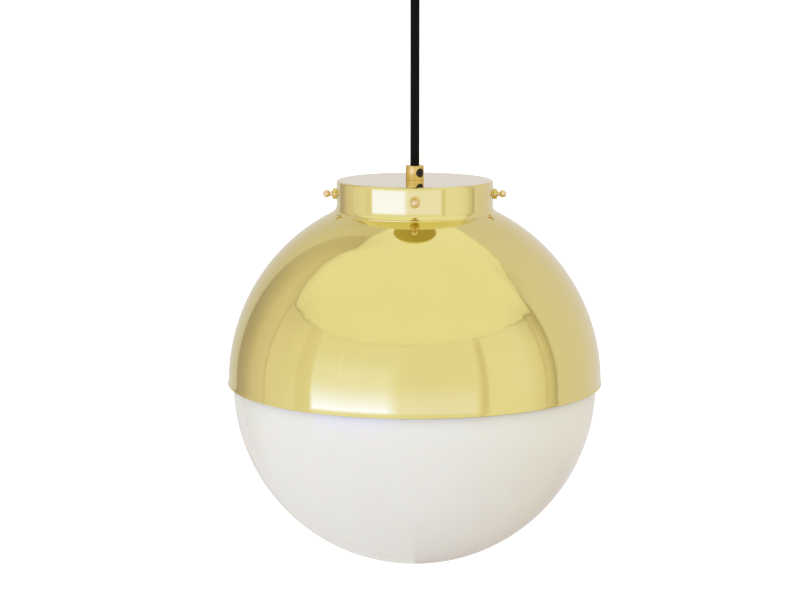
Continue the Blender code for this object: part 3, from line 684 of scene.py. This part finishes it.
def bulb():
    """Screw-in bulb: tip contact, glass insulator, threaded cap, body and diffuser."""
    tip = reach("bulb_contact")[2]
    contact = [(0, tip), (1.6, tip - 0.05), (3, tip - 0.35), (4.1, tip - 0.75), (4.4, tip - 1.1),
               (0, tip - 1.1)]
    insulator = rounded([(0, tip - 1.4), (5, tip - 1.4, 0.4), (9, tip - 3.6, 0.5), (9, tip - 5, 0.1),
                         (0, tip - 5)])
    cap_r, sheet = 13.3, 0.8
    cap = [(9.4, tip - 4.4), (cap_r - 1.3, tip - 5.3)] + arc((cap_r - 1.3, tip - 6.6), 1.3, 90, 0, 8)
    cap += [(cap_r, tip - 6.7 - 0.35 * step) for step in range(58)]
    cap += [(cap_r, tip - 27), (cap_r - sheet, tip - 27)]
    cap += [(cap_r - sheet, tip - 26.8 + 0.35 * step) for step in range(55)] + [(9.4, tip - 5.2)]
    thread = round_thread(0.9, tip - 25.5, tip - 8.5)
    body = [(0, tip - 8), (12.1, tip - 8), (12.1, tip - 27.4), (13.3, tip - 27.4)]
    body += [(13.3 + 15.1 * math.sin(0.5 * math.pi * step / 40) ** 1.5, tip - 27.4 - 30.6 * step / 40)
             for step in range(1, 41)]
    body += [(28.4, tip - 61.9), (28.3, tip - 62), (0, tip - 62)]
    rim, outer = tip - 58.4, 30.0
    shade = [(outer - 1.2, rim), (outer - 0.2, rim), (outer, rim - 0.2)]
    shade += arc((0, rim - 4), outer, 0, -88, 40, 45.7) + [(0, rim - 49.7), (0, rim - 48.5)]
    shade += arc((0, rim - 4), outer - 1.2, -88, 0, 30, 44.5)
    return [(turned("domed_contact", contact, 48, sharp=50), "bulb_contact"),
            (turned("vitrite_insulator", insulator, 64, sharp=50), "bulb_insulator"),
            (turned("threaded_cap", cap, 112, wave=thread, sharp=50), "bulb_cap"),
            (turned("moulded_body", body, 112, sharp=50), "bulb_body"),
            (turned("opal_diffuser", shade, 128, sharp=50), "bulb_diffuser")]


# ---------------------------------------------------------------- studio

CEILING = (1.0, 1.0, 1.0)
FLOOR = ((0.80, 0.785, 0.775), (0.515, 0.44, 0.415))    # to the left, and to the right
WALLS = [  # azimuth in degrees from the front, towards the right, and the wall's light there
    (-180, (0.77, 0.735, 0.745)), (-141.5, (0.69, 0.66, 0.64)), (-140.5, (0.46, 0.40, 0.35)),
    (-134, (0.51, 0.45, 0.39)), (-127, (0.58, 0.51, 0.45)), (-118, (0.75, 0.68, 0.64)),
    (-104.4, (0.84, 0.78, 0.79)), (-103.8, (0.60, 0.54, 0.50)), (-103.2, (0.88, 0.83, 0.84)),
    (-78, (0.94, 0.92, 0.96)), (-76.5, (0.88, 0.85, 0.84)), (-66.4, (0.92, 0.89, 0.90)),
    (-65.4, (0.99, 1.0, 1.05)), (-14, (0.97, 0.97, 1.04)), (0, (0.94, 0.93, 0.96)),
    (39.2, (0.97, 0.96, 0.99)), (40.6, (0.86, 0.82, 0.76)), (44.6, (0.80, 0.74, 0.66)),
    (45.4, (0.98, 0.97, 1.02)), (72, (0.97, 0.95, 1.0)), (86.5, (0.87, 0.83, 0.80)),
    (87.2, (0.70, 0.65, 0.58)), (88.2, (0.85, 0.80, 0.76)), (94.5, (0.66, 0.60, 0.52)),
    (96.2, (0.45, 0.42, 0.36)), (97.2, (0.86, 0.81, 0.88)), (150, (0.79, 0.745, 0.79)),
    (180, (0.77, 0.735, 0.745))]
CEILING_LINE = [  # azimuth and height in degrees where the ceiling starts, or the backdrop ends
    (-180, 60), (-150, 63), (-123, 60), (-119, 50), (-110, 38), (-101, 29.5), (-71, 29.8), (-55, 28.5),
    (-12.7, 29.6), (58, 30.8), (71, 31.6), (94, 28), (95, 33.5), (102, 43.8), (119, 51), (134, 55),
    (152, 57), (180, 60)]
SHADED_CORNERS = ((-112, 26), (93, 16))   # azimuths where the ceiling's edge is darkest, and their width
CORNER_SHADE = (0.34, 0.28, 0.22)
PALE_WALL = (0.86, 0.80, 0.76)
WINDOW = (1.06, 1.10, 1.47)
CURTAIN_FOLD = (0.8, 0.76, 0.75)
TABLE = (1.05, 1.06, 1.55)
GLOW = (1.31, 1.50, 3.85)
DIFFUSE_TINT = (1.065, 1.055, 0.785)      # matt surfaces get warmer light than mirrors reflect


def add_world():
    """Soft light from all round: pale walls and ceiling, and a bright curtained window to the left.

    All angles are in degrees: azimuth from the front towards the right, and elevation.
    """
    world = bpy.data.worlds.new("studio")
    bpy.context.scene.world = world
    world.use_nodes = True
    world.node_tree.nodes.clear()
    sky = Nodes(world.node_tree, "Generated")
    x, y, z = sky.add("SeparateXYZ", sky.place).outputs
    azimuth = sky.math("MULTIPLY", sky.math("ARCTAN2", x, sky.math("MULTIPLY", y, -1.0)), 180 / math.pi)
    elevation = sky.math("MULTIPLY", sky.math("ARCSINE", z), 180 / math.pi)
    along = sky.spread(azimuth, 0.0, 1.0, -180.0, 180.0)

    def band(value, low, high, soft):
        """1 between two angles, with soft edges."""
        return sky.math("MULTIPLY", sky.step(value, low - soft, low + soft),
                        sky.step(value, high + soft, high - soft))

    # walls
    walls = sky.add("ValToRGB", along)
    stops = walls.color_ramp.elements
    stops.remove(stops[-1])
    stops[0].position, stops[0].color = 0, (*WALLS[0][1], 1)
    for degrees, colour in WALLS[1:]:
        stops.new((degrees + 180) / 360).color = (*colour, 1)

    # how far above the ceiling's edge a direction is, with the edge a little uneven
    curve = sky.add("FloatCurve", 1.0, along)
    points = curve.mapping.curves[0].points
    heights = [((degrees + 180) / 360, height / 90) for degrees, height in CEILING_LINE]
    points[0].location, points[1].location = heights[0], heights[-1]
    for place in heights[1:-1]:
        points.new(*place)
    for point in points:
        point.handle_type = "VECTOR"
    curve.mapping.update()
    wobble = sky.spread(sky.noise(9.0, 3.0), -1.6, 1.6, 0.2, 0.8)
    ceiling_start = sky.math("MULTIPLY", curve.outputs[0], 90.0)
    above = sky.math("ADD", wobble, sky.math("SUBTRACT", elevation, ceiling_start))

    # window with its curtain, pale table in front of it, and the glow low in the window
    folds = sky.noise(1.0, 4.0, sky.add("CombineXYZ", sky.math("MULTIPLY", azimuth, 0.55),
                                        sky.math("MULTIPLY", elevation, 0.03)).outputs[0])
    window = sky.math("MULTIPLY", sky.step(azimuth, -66.4, -63.2), sky.step(azimuth, -8.5, -18.5))
    below_lintel = sky.step(elevation, 24.0, 8.0)
    room = sky.mixed(sky.math("MULTIPLY", window, below_lintel), walls.outputs[0], WINDOW)
    fold_depth = sky.math("MULTIPLY", sky.spread(folds, 0.0, 0.2), window)
    room = sky.mixed(fold_depth, room, CURTAIN_FOLD)
    table = sky.math("MULTIPLY", band(azimuth, -14.5, 38.0, 2.0), sky.step(elevation, 13.0, -12.0))
    room = sky.mixed(table, room, TABLE)
    falling = sky.math("POWER", sky.spread(elevation, 0.0, 1.0, 9.5, -9.5), 2.0)
    falling = sky.math("MULTIPLY", falling, sky.step(elevation, -25.0, -12.0))
    room = sky.mixed(sky.math("MULTIPLY", window, falling), room, GLOW)

    # ceiling, paler towards it on the left, with a soft edge in front and shade in two corners
    pale = sky.math("MULTIPLY", band(azimuth, -152.0, -108.0, 6.0), sky.step(elevation, 5.0, 38.0))
    room = sky.mixed(sky.math("MULTIPLY", pale, 0.5), room, PALE_WALL)
    blur = sky.math("ADD", 1.2, sky.math("MULTIPLY", band(azimuth, -62.0, 48.0, 14.0), 4.5))
    room = sky.mixed(sky.step(sky.math("DIVIDE", above, blur), -1.0, 1.0), room, CEILING)
    edge = sky.math("ABSOLUTE", above)
    corners = [band(azimuth, middle - width, middle + width, width) for middle, width in SHADED_CORNERS]
    corner = sky.math("ADD", *corners)
    line = sky.math("MULTIPLY", sky.step(edge, 1.1, 0.2), sky.spread(corner, 0.10, 0.62, 0.0, 1.0))
    shade = sky.math("MULTIPLY", sky.step(edge, 15.0, -3.0), sky.math("MULTIPLY", corner, 0.22))
    room = sky.mixed(sky.math("MAXIMUM", line, shade), room, CORNER_SHADE)

    # floor, and the tint of the light on matt surfaces
    floor = sky.mixed(sky.step(azimuth, -60.0, 90.0), *FLOOR)
    room = sky.mixed(sky.step(elevation, -16.0, -34.0), room, floor)
    tinted = sky.add("VectorMath", room, DIFFUSE_TINT, operation="MULTIPLY").outputs[0]
    diffuse = sky.add("LightPath").outputs["Is Diffuse Ray"]
    background = sky.add("Background", sky.mixed(diffuse, room, tinted), 1.0)
    sky.feed(sky.add("OutputWorld").inputs["Surface"], background.outputs[0])


def cyclorama():
    """Pale floor that curves up into a wall all round. Only the camera sees it, as even white."""
    floor, wall, cove, top = -1900, 9000, 2500, 6000
    outline = [(0, floor)] + arc((wall - cove, floor + cove), cove, -90, 0, 16) + [(wall, top)]
    outline += [(wall + 20, top)] + arc((wall - cove, floor + cove), cove + 20, 0, -90, 16)
    outline += [(0, floor - 20)]
    sweep = turned("studio_floor", outline, 96)
    paint = Paint("studio_paint", (0.9, 0.9, 0.9), 0.9)
    paint.shader.inputs["Emission Color"].default_value = (1, 1, 1, 1)
    paint.shader.inputs["Emission Strength"].default_value = 0.6
    sweep.data.materials.append(paint.material)
    for ray in ("diffuse", "glossy", "transmission", "shadow"):
        setattr(sweep, "visible_" + ray, False)


# ---------------------------------------------------------------- assembly

def add_flex():
    """The free flex, straight from the ceiling rose's grip to the lamp's grip."""
    cord = piece(flex(), None, black_braid("flex_braid"), "black_braid", "flex_cord_top", "flex_cord")
    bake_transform(cord)


def add_lamp():
    """Dome, gallery and globe with the grip and screws that hold them."""
    turned_metal = turned_brass("grip_brass", colour=(0.74, 0.53, 0.135), roughness=0.05)
    nylon = moulded("grip_nylon", (0.005, 0.005, 0.005), 0.5, 0.006)
    piece(dome(), "lamp", polished_brass("dome_brass", 0.32), "polished_brass", "dome_shade")
    piece(gallery(), "lamp", polished_brass("gallery_brass"), "polished_brass", "gallery")
    piece(cord_grip("turned_grip", LAMP_MOUTH, -1), "lamp", turned_metal, "turned_brass", "cord_grip")
    piece(grip_screw("slotted_grip_screw", LAMP_MOUTH, -1), "lamp", nylon, "black_nylon",
          "cord_grip_screw")
    for side, angle in SIDES.items():
        axis = "X" if angle % 180 == 0 else "Y"
        metal = turned_brass("screw_brass_" + side, axis, (0.88, 0.71, 0.4))
        collar_metal = turned_brass("collar_brass_" + side, axis, (0.755, 0.605, 0.18), 0.05)
        piece(screw_collar(side, angle), "lamp", collar_metal, "turned_brass", "screw_collar_" + side)
        piece(thumbscrew(side, angle), "screw_" + side, metal, "turned_brass", "thumbscrew_" + side)
    piece(globe(), "globe", opal_glass("globe_glass"), "opal_glass", "opal_globe")


def add_rose():
    """Ceiling rose with its grip and side screws."""
    piece(rose_cup(), "ceiling", polished_brass("rose_brass", 0.3, 0.4), "polished_brass", "rose_cup")
    metal = turned_brass("rose_grip_brass")
    nylon = moulded("rose_nylon", (0.012, 0.012, 0.012), 0.45, 0.006)
    piece(cord_grip("turned_rose_grip", ROSE_MOUTH, 1), "ceiling", metal, "turned_brass",
          "rose_cord_grip")
    piece(grip_screw("slotted_rose_grip_screw", ROSE_MOUTH, 1), "ceiling", nylon, "black_nylon",
          "rose_grip_screw")
    screw_metal = turned_brass("rose_screw_brass", "X")
    for side, angle in (("right", 0), ("left", 180)):
        piece(rose_side_screw(side, angle), "ceiling", screw_metal, "turned_brass",
              "rose_side_screw_" + side)


def add_holder_and_bulb():
    """The E27 lampholder and the bulb in it."""
    brass = turned_brass("holder_brass")
    finishes = {"holder_insert": (porcelain("holder_porcelain"), "porcelain")}
    for item, node in lampholder():
        material, slot = finishes.get(node, (brass, "turned_brass"))
        piece(item, "lamp", material, slot, node)
    nickel = plated("bulb_nickel", (0.7, 0.69, 0.66), 0.2, 0.2)
    vitrite = moulded("bulb_vitrite", (0.02, 0.02, 0.03), 0.2, 0.002)
    finishes = {"bulb_insulator": (vitrite, "black_glass"),
                "bulb_body": (moulded("bulb_plastic", (0.85, 0.85, 0.83), 0.4), "white_plastic"),
                "bulb_diffuser": (frosted("bulb_opal"), "bulb_opal")}
    for item, node in bulb():
        material, slot = finishes.get(node, (nickel, "nickel"))
        piece(item, "bulb", material, slot, node)


def dress_cad_pieces():
    """Materials for the CAD nodes that stay."""
    zinc = plated("zinc_plate", (0.62, 0.62, 0.6), 0.34, 0.8)
    looks = {zinc: ["ceiling_bracket", "rose_nipple", "lamp_nipple", "nipple_washer"],
             turned_brass("nut_brass"): ["nipple_nut", "rose_nipple_nut", "holder_contact"],
             moulded("block_plastic", (0.85, 0.85, 0.82), 0.45): ["terminal_block"],
             cork("gasket_cork"): ["neck_gasket"],
             black_braid("cord_end_braid"): ["rose_cord_end", "lamp_cord_end"],
             moulded("live_insulation", (0.2, 0.08, 0.03), 0.42): ["rose_core_live", "lamp_core_live"],
             moulded("neutral_insulation", (0.03, 0.1, 0.5), 0.42):
                 ["rose_core_neutral", "lamp_core_neutral"],
             earth_core("earth_insulation"): ["rose_core_earth", "lamp_core_earth"]}
    for name in ("live", "neutral", "earth"):
        looks[zinc] += ["terminal_screw_" + name, "holder_screw_" + name]
    for material, nodes in looks.items():
        for node in nodes:
            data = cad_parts[node].data
            data.materials.clear()
            data.materials.append(material)


def build():
    add_camera()
    add_flex()
    add_lamp()
    add_rose()
    add_holder_and_bulb()
    dress_cad_pieces()
    cyclorama()
    add_world()
    bpy.context.scene.view_settings.view_transform = "Standard"


build()
